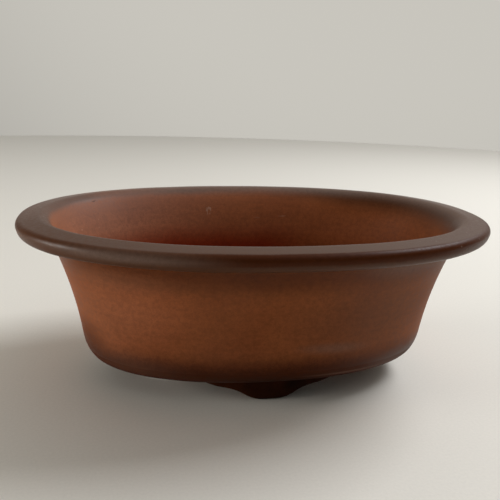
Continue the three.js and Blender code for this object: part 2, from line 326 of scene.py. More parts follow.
def oval_tree():
    """Bends an unrolled strip round the oval, wanders it slightly, and gives it its clay."""
    tree = bpy.data.node_groups.new("bend_round_the_oval", "GeometryNodeTree")
    new_socket(tree, "Geometry", "Geometry")
    for label, value in (
        ("Rim Length", RIM_LENGTH), ("Rim Width", RIM_WIDTH), ("Outline Power", OUTLINE_POWER),
        ("Unevenness", UNEVENNESS), ("Uneven Scale", UNEVEN_SCALE), ("Seed", UNEVEN_SEED),
    ):
        new_socket(tree, label, "Float", value)
    new_socket(tree, "Clay", "Material")
    new_socket(tree, "Geometry", "Geometry", way="OUTPUT")

    given = tree.nodes.new("NodeGroupInput").outputs
    place = add(tree, "GeometryNodeInputPosition").outputs[0]
    quarters, inset, height = add(tree, "ShaderNodeSeparateXYZ", place).outputs
    angle = times(tree, quarters, math.pi / 2)
    cosine = math_node(tree, "COSINE", angle)
    sine = math_node(tree, "SINE", angle)

    def shaped(value, power):
        size = math_node(tree, "POWER", math_node(tree, "ABSOLUTE", value), power)
        return times(tree, size, math_node(tree, "SIGN", value))

    power = given["Outline Power"]
    half_length = times(tree, given["Rim Length"], 0.5)
    half_width = times(tree, given["Rim Width"], 0.5)
    edge = add(
        tree, "ShaderNodeCombineXYZ",
        times(tree, shaped(cosine, power), half_length),
        times(tree, shaped(sine, power), half_width),
        height,
    ).outputs[0]
    normal_power = math_node(tree, "SUBTRACT", 2.0, power)
    normal = add(
        tree, "ShaderNodeCombineXYZ",
        math_node(tree, "DIVIDE", shaped(cosine, normal_power), half_length),
        math_node(tree, "DIVIDE", shaped(sine, normal_power), half_width),
        0.0,
    ).outputs[0]
    inwards = scaled(tree, vector_node(tree, "NORMALIZE", normal), inset)
    bent = vector_node(tree, "SUBTRACT", edge, inwards)

    drift = fill_named(tree, add(tree, "ShaderNodeTexNoise", noise_dimensions="4D"), {
        "Vector": bent, "W": given["Seed"], "Scale": given["Uneven Scale"], "Detail": 1.0,
    })["Color"]
    wander = vector_node(tree, "SUBTRACT", drift, (0.5, 0.5, 0.5))
    lifted = math_node(tree, "MINIMUM", math_node(tree, "DIVIDE", height, FOOT_HEIGHT), 1.0)
    reach = times(tree, given["Unevenness"], UNEVEN_REACH, lifted)
    offset = scaled(tree, wander, reach)

    moved = fill_named(tree, add(tree, "GeometryNodeSetPosition"), {
        "Geometry": given["Geometry"], "Position": vector_node(tree, "ADD", bent, offset),
    })
    whole = add(tree, "GeometryNodeRealizeInstances", moved[0]).outputs
    finished = fill_named(tree, add(tree, "GeometryNodeSetMaterial"), {
        "Geometry": whole[0], "Material": given["Clay"],
    })
    add(tree, "NodeGroupOutput", finished[0])
    return tree


OVAL_TREE = oval_tree()


def tree_input(modifier, label, value):
    """Sets a tree's named input on a modifier."""
    for item in modifier.node_group.interface.items_tree:
        if item.item_type == "SOCKET" and item.in_out == "INPUT" and item.name == label:
            modifier[item.identifier] = value


# Meshes


def new_object(name, data):
    """A new object in the scene."""
    made = bpy.data.objects.new(name, data)
    bpy.context.scene.collection.objects.link(made)
    return made


def strip(name, rows, quarters, closed_section, closed_round, clay):
    """Bends rows of (inset, height), one for each station, into a mesh round the oval."""
    count, width = len(rows), len(rows[0])
    points = [(q, x, z) for q, row in zip(quarters, rows) for x, z in row]
    faces = []
    for i in range(count if closed_round else count - 1):
        here, there = i * width, (i + 1) % count * width
        for j in range(width if closed_section else width - 1):
            k = (j + 1) % width
            faces.append((here + j, there + j, there + k, here + k))
    if closed_section and not closed_round:
        faces.append(tuple(range(width)))
        faces.append(tuple(reversed(range((count - 1) * width, count * width))))
    mesh = bpy.data.meshes.new(name + "_unrolled")
    mesh.from_pydata(points, [], faces)
    run = mesh.attributes.new("run", "FLOAT", "POINT")
    run.data.foreach_set("value", np.concatenate([run_at(row) for row in rows]).astype(np.float32))

    drawn = new_object(mesh.name, mesh)
    modifier = drawn.modifiers.new("bend", "NODES")
    modifier.node_group = OVAL_TREE
    tree_input(modifier, "Clay", clay)
    evaluated = drawn.evaluated_get(bpy.context.evaluated_depsgraph_get())
    bent = bpy.data.meshes.new_from_object(evaluated)
    bent.name = name
    drawn.modifiers.remove(modifier)
    bpy.data.objects.remove(drawn)
    bpy.data.meshes.remove(mesh)
    return bent


def sweep(name, profile, first, last, clay):
    """A closed profile swept round the oval from one quarter turn to another."""
    whole = last - first == 4
    count = (last - first) * STATIONS_PER_QUARTER + (0 if whole else 1)
    quarters = [first + i / STATIONS_PER_QUARTER for i in range(count)]
    return strip(name, [profile] * count, quarters, True, whole, clay)


def finish_piece(mesh, node):
    """Makes a finished piece of a mesh: faces out, smooth with sharp edges, riding on the pot."""
    shell = bmesh.new()
    shell.from_mesh(mesh)
    bmesh.ops.recalc_face_normals(shell, faces=shell.faces)
    shell.to_mesh(mesh)
    shell.free()
    mesh.shade_smooth()
    mesh.set_sharp_from_angle(angle=SHARP_ANGLE)
    piece = new_object(mesh.name, mesh)
    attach(piece, BODY)
    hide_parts(node)
    return piece


# Clay effects, each a group that any clay can use


def effect(name, inputs, *outputs):
    """Starts a shader group on a vector; gives its tree, what it is given, and what it puts out."""
    tree = bpy.data.node_groups.new(name, "ShaderNodeTree")
    new_socket(tree, "Vector", "Vector")
    for label, value in inputs.items():
        new_socket(tree, label, "Float", value)
    for label in outputs:
        new_socket(tree, label, "Float", way="OUTPUT")
    return tree, tree.nodes.new("NodeGroupInput").outputs, tree.nodes.new("NodeGroupOutput").inputs


def noise(tree, vector, scale, detail=2.0, seed=0.0):
    """Even noise between 0 and 1 on a vector."""
    node = add(tree, "ShaderNodeTexNoise", noise_dimensions="4D")
    values = {"Vector": vector, "W": seed, "Scale": scale, "Detail": detail}
    return fill_named(tree, node, values)["Fac"]


def cells(tree, vector, scale):
    """Cells scattered over a vector."""
    return fill_named(tree, add(tree, "ShaderNodeTexVoronoi"), {"Vector": vector, "Scale": scale})


def ease(tree, value, low, high, start=0.0, stop=1.0):
    """Goes softly from start to stop while the value goes from low to high."""
    node = add(tree, "ShaderNodeMapRange", value, low, high, start, stop, interpolation_type="SMOOTHSTEP")
    return node.outputs[0]


# Where a Mix node keeps its two colours and its result
MIX_FIRST, MIX_SECOND, MIX_RESULT = 6, 7, 2


def blend(tree, share, first, second):
    """A colour between two colours."""
    node = add(tree, "ShaderNodeMix", share, data_type="RGBA")
    fill(tree, node.inputs[MIX_FIRST], first)
    fill(tree, node.inputs[MIX_SECOND], second)
    return node.outputs[MIX_RESULT]


# How the clay effects are tuned

GRAIN_SIZE = 0.7 * MM
COARSE_SHARE = 0.3
GRAIN_TONE = (0.34, 0.66)
PIT_SHARE = 0.16
PIT_EDGE = (0.05, 0.13)
PIT_DEPTH_SHARE = 0.35
CLOUD_SIZE = 34 * MM
CLOUD_TONE = (0.32, 0.68)
DRIFT_SCALE = 45.0
STIPPLE_SCALE = 900.0
STIPPLE_SHARE = 0.6
DRIFT_MIDDLE = 0.8
DRIFT_REACH = 2.0
STREAKS_ROUND = 2.2
STREAK_TONE = (0.3, 0.7)
MARK_SCALE = 1.6
MARK_REACH = 4.0
MARK_EDGE = (0.55, 1.0)
SPECK_CHANCE = (0.55, 1.0)
SPECK_RADIUS = 0.3
SPECK_CORE_SHARE = 0.5


def grain_effect():
    """Fine grit of fired clay: a tone, and a height with small pits."""
    tree, given, result = effect("clay_grain", {"Grain Size": GRAIN_SIZE}, "Tone", "Height")
    place = given["Vector"]
    fine_scale = math_node(tree, "DIVIDE", 1.0, given["Grain Size"])
    fine = noise(tree, place, fine_scale, seed=1.7)
    coarse = noise(tree, place, times(tree, fine_scale, COARSE_SHARE), seed=5.1)
    pits = cells(tree, place, times(tree, fine_scale, PIT_SHARE))
    pitted = ease(tree, pits["Distance"], *PIT_EDGE)
    both = times(tree, math_node(tree, "ADD", fine, coarse), 0.5)
    fill(tree, result["Tone"], ease(tree, both, *GRAIN_TONE))
    pitted = times(tree, pitted, PIT_DEPTH_SHARE)
    fill(tree, result["Height"], math_node(tree, "ADD", both, pitted))
    return tree


def cloud_effect():
    """Large soft clouds, as the kiln's flame leaves them."""
    tree, given, result = effect("kiln_clouds", {"Size": CLOUD_SIZE, "Seed": 0.0}, "Mask")
    scale = math_node(tree, "DIVIDE", 1.0, given["Size"])
    clouds = noise(tree, given["Vector"], scale, detail=3.0, seed=given["Seed"])
    fill(tree, result["Mask"], ease(tree, clouds, *CLOUD_TONE))
    return tree


ZONE_INPUTS = ("From", "From Softness", "To", "To Softness", "Wander")


def zone_effect():
    """A zone along the section, with soft edges that wander and break up into grains."""
    tree, given, result = effect("section_zone", {"Run": 0.0, **dict.fromkeys(ZONE_INPUTS, MM)}, "Mask")
    slow = noise(tree, given["Vector"], DRIFT_SCALE, seed=3.3)
    stipple = noise(tree, given["Vector"], STIPPLE_SCALE, seed=8.8)
    drift = math_node(tree, "ADD", slow, times(tree, stipple, STIPPLE_SHARE))
    drift = times(tree, math_node(tree, "SUBTRACT", drift, DRIFT_MIDDLE), given["Wander"])
    run = math_node(tree, "MULTIPLY_ADD", drift, DRIFT_REACH, given["Run"])

    def edge(end, start, stop):
        place, soft = given[end], given[end + " Softness"]
        low, high = math_node(tree, "SUBTRACT", place, soft), math_node(tree, "ADD", place, soft)
        return ease(tree, run, low, high, start, stop)

    fill(tree, result["Mask"], times(tree, edge("From", 0.0, 1.0), edge("To", 1.0, 0.0)))
    return tree


def wiped_effect():
    """Marks of the damp sponge, drawn out round the pot."""
    tree, given, result = effect("wiped_round", {"Run": 0.0, "Spacing": MM}, "Height")
    flat = vector_node(tree, "MULTIPLY", given["Vector"], (1, 1, 0))
    ahead = vector_node(tree, "NORMALIZE", flat)
    ahead = vector_node(tree, "MULTIPLY", ahead, (STREAKS_ROUND, STREAKS_ROUND, 0))
    lane = math_node(tree, "DIVIDE", given["Run"], given["Spacing"])
    place = vector_node(tree, "ADD", ahead, add(tree, "ShaderNodeCombineXYZ", 0.0, 0.0, lane).outputs[0])
    fill(tree, result["Height"], noise(tree, place, 1.0, detail=3.0, seed=2.2))
    return tree


def mark_effect():
    """One ragged mark that fills the unit ball of its own mapped coordinates."""
    tree, given, result = effect("single_mark", {"Raggedness": 0.5}, "Mask")
    length = add(tree, "ShaderNodeVectorMath", given["Vector"], operation="LENGTH").outputs["Value"]
    ragged = noise(tree, given["Vector"], MARK_SCALE, detail=3.0, seed=4.4)
    ragged = math_node(tree, "SUBTRACT", ragged, 0.5)
    reach = times(tree, given["Raggedness"], MARK_REACH)
    edge = math_node(tree, "MULTIPLY_ADD", ragged, reach, length)
    fill(tree, result["Mask"], ease(tree, edge, *MARK_EDGE, 1.0, 0.0))
    return tree


def speck_effect():
    """Sparse small specks, each in the middle of its own cell."""
    tree, given, result = effect("stray_specks", {"Spacing": MM}, "Mask")
    found = cells(tree, given["Vector"], math_node(tree, "DIVIDE", 1.0, given["Spacing"]))
    chosen = add(tree, "ShaderNodeSeparateXYZ", found["Color"]).outputs[0]
    radius = times(tree, ease(tree, chosen, *SPECK_CHANCE), SPECK_RADIUS)
    core = times(tree, radius, SPECK_CORE_SHARE)
    fill(tree, result["Mask"], ease(tree, found["Distance"], core, radius, 1.0, 0.0))
    return tree


GRAIN, CLOUDS, ZONE = grain_effect(), cloud_effect(), zone_effect()
WIPED, MARK, SPECKS = wiped_effect(), mark_effect(), speck_effect()

# Colours of the fired clay, and of the light, shade and sheen painted on it

RED_CLAY = (0.243, 0.07, 0.022, 1)
ORANGE_CLAY = (0.272, 0.082, 0.026, 1)
BRIGHT_CLAY = (0.36, 0.112, 0.042, 1)
BROWN_CLAY = (0.15, 0.056, 0.026, 1)
# Dark smoke of the kiln, also used for painted shade under the lip
SMOKE_AND_SHADE_CLAY = (0.068, 0.015, 0.003, 1)
# Darker neck under the lip: smoke and painted shade
NECK_SMOKE_AND_SHADE = (0.094, 0.023, 0.004, 1)
# Deep red of the painted shade low inside the pot
WELL_SHADE_CLAY = (0.155, 0.014, 0.001, 1)
LIP_DARK_CLAY = (0.07, 0.027, 0.012, 1)
# Painted shade for the lip's front face
LIP_FACE_SHADE_CLAY = (0.06, 0.013, 0.002, 1)
# Pale grey: real dust and specks, and painted sheen, highlight and reflection on the lip, the neck and the
# low corner
DUST_AND_SHEEN_CLAY = (0.34, 0.29, 0.255, 1)
# Pinkish grey of a painted sheen inside the mouth
PAINTED_SHEEN_PINK = (0.31, 0.205, 0.172, 1)
GREY_CLAY = (0.19, 0.11, 0.08, 1)
PALE_CLAY = (0.52, 0.29, 0.19, 1)
SCUFFED_CLAY = (0.42, 0.26, 0.18, 1)
SCRATCHED_CLAY = (0.04, 0.014, 0.006, 1)
# Smoked clay darkened nearly to black by painted shade under the pot
FOOT_SMOKE_AND_SHADE = (0.014, 0.004, 0.0015, 1)

POT_SEED = 4.0
FOOT_SEED = 6.0

CLAY_GLOSS = 0.14
SHADED_GLOSS = 0.06
FOOT_GLOSS = 0.06

# Surface of each clay: sponge marks (spacing, depth, contrast), grain (size, contrast, depth), roughness

LIP_SURFACE = ((1.6 * MM, 0.03 * MM, 0.03), (0.6 * MM, 0.1, 0.05 * MM), (0.52, 0.64))
WALL_SURFACE = ((2.2 * MM, 0.04 * MM, 0.035), (0.7 * MM, 0.14, 0.07 * MM), (0.52, 0.64))
FLOOR_SURFACE = ((2.2 * MM, 0.05 * MM, 0.05), (0.7 * MM, 0.12, 0.07 * MM), (0.58, 0.68))
FOOT_SURFACE = (None, (0.8 * MM, 0.14, 0.08 * MM), (0.55, 0.68))
LIP_SMOKE_ROUGHNESS = (0.34, 0.44)
WALL_SMOKE_ROUGHNESS = (0.36, 0.46)

# Where the kiln's colours, the painted shade and the painted sheen change, as points of the section: (inset,
# height)

SMOKE_TOP = run_of((31.2 * MM, 32 * MM))
NECK_LOW = run_of((21.5 * MM, 68 * MM))
NECK_TOP = run_of(OUTER_WALL[0])
LIP_FACE_START = run_of((0.8 * MM, 86 * MM))
LIP_TOP_START = run_of((2.5 * MM, 91 * MM))
LIP_INNER_END = run_of((17.3 * MM, 89 * MM))
WELL_TOP = run_of((29.5 * MM, 63.5 * MM))
WELL_END = run_of((38 * MM, 40 * MM))
LOW_EDGE = run_of((36.0 * MM, 17.0 * MM))
BEFORE_SECTION, PAST_SECTION = -1.0, 1.0

# Zones along the section: where each starts and how softly, where it ends and how softly, wander

ZONES = {
    "low_smoke": (BEFORE_SECTION, MM, SMOKE_TOP - 5 * MM, 7 * MM, 2.5 * MM),
    "low_edge": (LOW_EDGE - 0.8 * MM, 0.5 * MM, LOW_EDGE + 0.8 * MM, 0.5 * MM, 0.4 * MM),
    "neck": (NECK_LOW, 9 * MM, NECK_TOP + 4 * MM, MM, 1.5 * MM),
    "lip_face": (LIP_FACE_START, MM, LIP_TOP_START, MM, MM),
    "lip_top": (LIP_TOP_START, 1.5 * MM, LIP_INNER_END, 4 * MM, MM),
    "well": (WELL_TOP, 10 * MM, WELL_END, 14 * MM, 2 * MM),
    "floor": (WELL_END, 14 * MM, PAST_SECTION, MM, 2 * MM),
}
INNER_SMOKE_WANDER = 1.2 * MM
INNER_SMOKE_DROP = 7.5 * MM
THIN_SMOKE = (0.95, 0.56)

# Fades across the pot: axis, first and last place on it in millimetres, level at each

X, Y = 0, 1
FADES = {
    "smoke_drop": (X, 20, 95, 0.0, 1.0),
    "smoke_softness": (X, -60, 95, 2 * MM, 8 * MM),
    "well": (X, 10, 60, 1.0, 0.1),
    # Painted sheen, partly real dust, on the lip's top: stronger further back, weaker at the left end
    "far_dust_and_sheen": (Y, 10, 75, 0.05, 0.23),
    "right_dust_and_sheen": (X, -115, -25, 0.15, 1.0),
    "face_shade": (X, -60, -15, 0.0, 1.0),
    "face_dull": (X, 60, 118, 1.0, 0.0),
}

# Soft regions: centre and half sizes in millimetres

REGION_CORE = 0.1
REGIONS = {
    "thin_smoke": ((-70, 62, 90), (60, 26, 20)),
    "mouth_shade": ((80, 50, 84), (60, 40, 12)),
    "front_shade": ((10, -70, 44), (56, 45, 58)),
}

# Stray specks: spacing, centre and half sizes in millimetres, colour, strength

SPECKLED = {
    "lip": (2.2, (88, -66, 91), (60, 30, 8), DUST_AND_SHEEN_CLAY, 0.35),
    "wall": (2.4, (-96, 33, 76), (30, 30, 14), PALE_CLAY, 0.5),
}

# Soft patches of colour: centre and half sizes in millimetres, colour, strength

PATCHES = {
    # Painted sheen high inside the mouth on the left
    "painted_inside_sheen": ((-95, 40, 88), (130, 80, 45), PAINTED_SHEEN_PINK, 0.24),
    "left_of_mouth": ((-112, 14, 87), (26, 36, 9), BROWN_CLAY, 0.12),
    "right_of_mouth": ((107, 5, 78), (26, 32, 9), BROWN_CLAY, 0.22),
    "left_smoke": ((-96, -26, 29), (24, 28, 18), SMOKE_AND_SHADE_CLAY, 0.7),
    "left_corner": ((-68, -44, 22), (42, 26, 10), GREY_CLAY, 0.16),
    # Painted reflection of the lit floor on the lower right corner
    "right_corner_reflection": ((70, -44, 18), (30, 26, 10), DUST_AND_SHEEN_CLAY, 0.12),
    # Painted sheen and highlight on the lip's top, partly real dust; the lighter far middle is painted light
    "lip_right_end": ((116, 12, 91), (45, 60, 20), DUST_AND_SHEEN_CLAY, 0.1),
    "lip_far_right": ((114, 24, 91), (30, 30, 12), DUST_AND_SHEEN_CLAY, 0.05),
    "lip_far_middle": ((-15, 79, 92), (75, 16, 8), BRIGHT_CLAY, 0.08),
    "lip_near_right": ((70, -70, 91), (110, 60, 20), DUST_AND_SHEEN_CLAY, 0.07),
    "lip_near_middle": ((-25, -70, 91), (130, 60, 12), DUST_AND_SHEEN_CLAY, 0.03),
    # Painted reflection of the lit floor on the left of the lip's face
    "lip_left_face_reflection": ((-75, -78, 87.6), (62, 42, 4), DUST_AND_SHEEN_CLAY, 0.19),
    # Painted light on the left of the front wall, painted shade on its right
    "lit_wall_left": ((-64, -56, 54), (36, 32, 20), BRIGHT_CLAY, 0.68),
    "shaded_wall_right": ((50, -58, 51), (64, 45, 38), BROWN_CLAY, 0.62),
    "wall_far_left": ((-88, -46, 50), (50, 46, 32), GREY_CLAY, 0.12),
    # Painted sheen low on the front wall, right of the middle
    "wall_sheen_streak": ((30, -62, 33), (27, 16, 4.5), GREY_CLAY, 0.45),
    # Painted shade under the lip in the middle of the front, and painted light on its left
    "neck_middle": ((-5, -78, 75), (55, 34, 13), SMOKE_AND_SHADE_CLAY, 0.25),
    "neck_left": ((-76, -56, 69), (48, 42, 9), PALE_CLAY, 0.06),
    # Painted sheen under the lip on the right
    "neck_right_sheen": ((66, -70, 80), (38, 32, 14), DUST_AND_SHEEN_CLAY, 0.18),
    # Painted shade deep inside on the left
    "inside_left": ((-50, 58, 63), (40, 20, 12), WELL_SHADE_CLAY, 0.2),
    "inside_right": ((74, 49, 64), (32, 26, 12), BRIGHT_CLAY, 0.3),
    # Painted shade on the slab low in front, under the pot
    "slab_front": ((8, -60, 13), (62, 28, 9), FOOT_SMOKE_AND_SHADE, 0.4),
    "slab_under": ((0, -58, 11), (60, 20, 6), FOOT_SMOKE_AND_SHADE, 0.5),
    # Painted sheen of the lit floor along the low edge, right of the middle
    "low_edge_sheen": ((42, -56, 17), (36, 25, 12), GREY_CLAY, 0.5),
}
SHEEN_STREAK_TURN = (0, 0.05, 0)

# Single marks: centre in millimetres, turn, half sizes in millimetres, raggedness

MARKS = {
    "scratch": ((-92.3, 48.1, 89.1), (0, 0, 0.9), (2.2, 0.4, 3), 0.3),
    "scuff": ((-19.3, 70.4, 78.4), (0, 0.1, 0.1), (1.9, 3, 3.2), 0.5),
    "scuff_hollow": ((-19.1, 69.9, 77.2), (0, 0.1, 0.1), (0.9, 3, 2.8), 0.3),
    "long_scrape": ((30.5, 66.9, 74.6), (0, 1.45, -0.1), (0.5, 3, 3.4), 0.6),
    "short_scrape": ((13.6, 68.3, 73.4), (0, 1.55, -0.1), (0.5, 3, 2.6), 0.6),
}


class Clay:
    """A clay in the making: its colour, heights, roughness and gloss so far."""

    def __init__(self, name, colour, clouded, cloud_seed):
        self.material = bpy.data.materials.new(name)
        self.material.use_nodes = True
        self.tree = self.material.node_tree
        self.shader = self.tree.nodes["Principled BSDF"]
        self.place = self.tree.nodes.new("ShaderNodeTexCoord").outputs["Object"]
        run = self.tree.nodes.new("ShaderNodeAttribute")
        run.attribute_name = "run"
        self.run = run.outputs["Fac"]
        clouds = self.use(CLOUDS, {"Size": CLOUD_SIZE, "Seed": cloud_seed})["Mask"]
        self.colour = blend(self.tree, clouds, colour, clouded)
        self.heights = []
        self.roughness = None
        self.gloss = CLAY_GLOSS

    def use(self, group, values, vector=None):
        """Places a clay effect, on the clay's own coordinates or on others, and gives its outputs."""
        node = self.tree.nodes.new("ShaderNodeGroup")
        node.node_tree = group
        return fill_named(self.tree, node, {"Vector": vector or self.place, **values})

    def zone(self, *values):
        """The mask of a zone along the section."""
        return self.use(ZONE, {"Run": self.run, **dict(zip(ZONE_INPUTS, values))})["Mask"]

    def fade(self, name):
        """A level that changes softly along an axis of the pot."""
        axis, low, high, start, stop = FADES[name]
        place = add(self.tree, "ShaderNodeSeparateXYZ", self.place).outputs[axis]
        return ease(self.tree, place, low * MM, high * MM, start, stop)

    def mapped(self, centre, size, turn):
        """Coordinates in which a turned ball of that centre and those half sizes is the unit ball."""
        centre, size = ([value * MM for value in row] for row in (centre, size))
        return add(
            self.tree, "ShaderNodeMapping", self.place, centre, turn, size, vector_type="TEXTURE",
        ).outputs[0]

    def region(self, centre, size, turn=(0, 0, 0)):
        """The mask of a large soft region: its centre, half sizes and turn."""
        ball = self.mapped(centre, size, turn)
        far = add(self.tree, "ShaderNodeVectorMath", ball, operation="LENGTH").outputs["Value"]
        return ease(self.tree, far, REGION_CORE, 1.0, 1.0, 0.0)

    def mark(self, name):
        """The mask of a single mark."""
        centre, turn, size, raggedness = MARKS[name]
        return self.use(MARK, {"Raggedness": raggedness}, self.mapped(centre, size, turn))["Mask"]

    def paint(self, mask, colour, strength=1.0):
        """Lays a colour over the clay where the mask is."""
        share = mask if strength == 1.0 else times(self.tree, mask, strength)
        self.colour = blend(self.tree, share, self.colour, colour)

    def lay(self, *names, within=None, turn=(0, 0, 0)):
        """Lays patches of colour over the clay, within a mask if one is given."""
        for name in names:
            centre, size, colour, strength = PATCHES[name]
            mask = self.region(centre, size, turn)
            self.paint(mask if within is None else times(self.tree, within, mask), colour, strength)

    def speckle(self, name):
        """Scatters stray specks of colour over the clay."""
        spacing, centre, size, colour, strength = SPECKLED[name]
        found = self.use(SPECKS, {"Spacing": spacing * MM})["Mask"]
        self.paint(times(self.tree, found, self.region(centre, size)), colour, strength)

    def dull(self, mask):
        """Takes the gloss down where the mask is, as in a corner that sees little light."""
        self.gloss = ease(self.tree, mask, 0.0, 1.0, self.gloss, SHADED_GLOSS)

    def mouth(self):
        """Colours the mouth, alike on the lip and on the wall; gives the mask of its smoke.

        The smoke reaches further down inside on the right and ends more softly there.
        """
        drop = times(self.tree, self.fade("smoke_drop"), INNER_SMOKE_DROP)
        end = math_node(self.tree, "ADD", drop, LIP_INNER_END)
        smoke = self.zone(NECK_TOP, MM, end, self.fade("smoke_softness"), INNER_SMOKE_WANDER)
        thin = self.region(*REGIONS["thin_smoke"])
        smoke = times(self.tree, smoke, ease(self.tree, thin, 0.0, 1.0, *THIN_SMOKE))
        self.paint(smoke, LIP_DARK_CLAY)
        # Painted sheen high inside on the left, and browner clay at both ends of the mouth
        self.lay("painted_inside_sheen", "left_of_mouth", "right_of_mouth")
        self.dull(self.region(*REGIONS["mouth_shade"]))
        return smoke

    def well(self):
        """Browns the floor and deepens the red low inside with painted shade, alike on the wall and on the
        floor.
        """
        self.paint(self.zone(*ZONES["floor"]), BROWN_CLAY, strength=0.4)
        well = self.zone(*ZONES["well"])
        # Painted shade low inside, less of it on the right
        self.paint(times(self.tree, well, self.fade("well")), WELL_SHADE_CLAY)
        self.dull(well)

    def low_corner(self):
        """Colours the lower corner, alike on the wall and on the slab; gives the mask of its smoke."""
        smoke = self.zone(*ZONES["low_smoke"])
        self.paint(smoke, SMOKE_AND_SHADE_CLAY)
        # Smoke on the lower left, greyer lower left, and painted reflection of the lit floor on the lower
        # right
        self.lay("left_smoke", "left_corner", "right_corner_reflection")
        self.dull(self.region(*REGIONS["front_shade"]))
        return smoke

    def vary(self, mask, contrast):
        """Makes the colour darker where the mask is low and lighter where it is high."""
        darker = vector_node(self.tree, "MULTIPLY", self.colour, (1 - contrast,) * 3)
        lighter = vector_node(self.tree, "MULTIPLY", self.colour, (1 + contrast,) * 3)
        self.colour = blend(self.tree, mask, darker, lighter)

    def surface(self, wiped, grain, rough):
        """Sponge marks round the pot, gritty tone and height, and a roughness that follows the grit."""
        if wiped:
            spacing, depth, contrast = wiped
            streak = self.use(WIPED, {"Run": self.run, "Spacing": spacing})["Height"]
            self.vary(ease(self.tree, streak, *STREAK_TONE), contrast)
            self.heights.append((streak, depth))
        size, contrast, depth = grain
        grit = self.use(GRAIN, {"Grain Size": size})
        self.vary(grit["Tone"], contrast)
        self.heights.append((grit["Height"], depth))
        self.tone = grit["Tone"]
        self.roughness = ease(self.tree, self.tone, 0.0, 1.0, *rough)

    def smoother(self, mask, rough):
        """Another roughness where the mask is."""
        there = ease(self.tree, self.tone, 0.0, 1.0, *rough)
        change = math_node(self.tree, "SUBTRACT", there, self.roughness)
        self.roughness = math_node(self.tree, "MULTIPLY_ADD", change, mask, self.roughness)

    def finish(self):
        """Joins everything to the shader and gives the material."""
        normal = None
        for height, depth in self.heights:
            bump = {"Distance": depth, "Height": height, "Normal": normal}
            normal = fill_named(self.tree, self.tree.nodes.new("ShaderNodeBump"), bump)[0]
        fill_named(self.tree, self.shader, {
            "Specular IOR Level": self.gloss, "Base Color": self.colour, "Roughness": self.roughness,
            "Normal": normal,
        })
        return self.material


def lip_clay():
    """Smoked lip: dark and satin, dusty and with painted sheen on top, painted shade on its front face, red
    again where the mouth turns down inside.
    """
    clay = Clay("lip_clay", RED_CLAY, ORANGE_CLAY, POT_SEED)
    smoke = clay.mouth()
    top = clay.zone(*ZONES["lip_top"])
    # Painted sheen, partly real dust, over the lip's top, with painted light and highlight in patches
    clay.paint(times(clay.tree, top, clay.fade("far_dust_and_sheen"), clay.fade("right_dust_and_sheen")), DUST_AND_SHEEN_CLAY)
    clay.lay("lip_right_end", within=top)
    clay.lay("lip_far_right", "lip_far_middle")
    clay.lay("lip_near_right", within=top)
    # Painted shade on the lip's front face, none at its left end; its gloss is taken down too, less towards
    # the right end
    shaded = times(clay.tree, clay.zone(*ZONES["lip_face"]), clay.fade("face_shade"))
    clay.paint(shaded, LIP_FACE_SHADE_CLAY, strength=0.85)
    clay.dull(times(clay.tree, shaded, clay.fade("face_dull")))
    clay.lay("lip_near_middle", within=top)
    # Painted reflection of the lit floor on the left of the lip's face
    clay.lay("lip_left_face_reflection")
    clay.speckle("lip")
    clay.paint(clay.mark("scratch"), SCRATCHED_CLAY, strength=0.6)
    clay.surface(*LIP_SURFACE)
    clay.smoother(smoke, LIP_SMOKE_ROUGHNESS)
    return clay.finish()


def wall_clay():
    """Red-brown wall, greyed by smoke inside the mouth and round the lower corner, darkened under the lip by
    smoke and painted shade, with painted light, shade and sheen on its front.
    """
    clay = Clay("wall_clay", RED_CLAY, ORANGE_CLAY, POT_SEED)
    # Painted light on the wall's left, painted shade on its right front, and greyer at the left end
    clay.lay("lit_wall_left", "shaded_wall_right", "wall_far_left")
    low_smoke = clay.low_corner()
    # Painted sheen low on the front wall, right of the middle
    clay.lay("wall_sheen_streak", turn=SHEEN_STREAK_TURN)
    neck = clay.zone(*ZONES["neck"])
    # Under the lip: smoke and painted shade, darkest in the middle of the front, with painted light on the
    # left
    clay.paint(neck, NECK_SMOKE_AND_SHADE, strength=0.8)
    clay.lay("neck_middle", "neck_left")
    inner_smoke = clay.mouth()
    clay.well()
    clay.lay("inside_left")
    clay.speckle("wall")
    # Painted sheen under the lip on the right, and lighter low inside on the right
    clay.lay("neck_right_sheen", "inside_right")
    arch = math_node(clay.tree, "SUBTRACT", clay.mark("scuff"), clay.mark("scuff_hollow"))
    clay.paint(arch, SCUFFED_CLAY, strength=0.5)
    clay.paint(clay.mark("long_scrape"), SCUFFED_CLAY, strength=0.22)
    clay.paint(clay.mark("short_scrape"), SCUFFED_CLAY, strength=0.14)
    clay.surface(*WALL_SURFACE)
    clay.smoother(inner_smoke, LIP_SMOKE_ROUGHNESS)
    clay.smoother(neck, WALL_SMOKE_ROUGHNESS)
    clay.smoother(low_smoke, WALL_SMOKE_ROUGHNESS)
    return clay.finish()


def floor_clay():
    """The slab and the corner coil: brown inside, smoked outside, painted shade low in front, painted sheen
    along the low edge.
    """
    clay = Clay("floor_clay", RED_CLAY, ORANGE_CLAY, POT_SEED)
    clay.low_corner()
    clay.well()
    # Painted shade low in front, and painted sheen along the low edge
    clay.lay("slab_front", "slab_under")
    clay.lay("low_edge_sheen", within=clay.zone(*ZONES["low_edge"]))
    clay.surface(*FLOOR_SURFACE)
    return clay.finish()


def foot_clay():
    """Feet: smoked, and painted nearly black for the shade under the pot."""
    clay = Clay("foot_clay", FOOT_SMOKE_AND_SHADE, SMOKE_AND_SHADE_CLAY, FOOT_SEED)
    clay.gloss = FOOT_GLOSS
    clay.surface(*FOOT_SURFACE)
    return clay.finish()


LIP_CLAY, WALL_CLAY, FLOOR_CLAY, FOOT_CLAY = lip_clay(), wall_clay(), floor_clay(), foot_clay()


# Swept pieces: name, section, first and last quarter turn, clay, node, slot

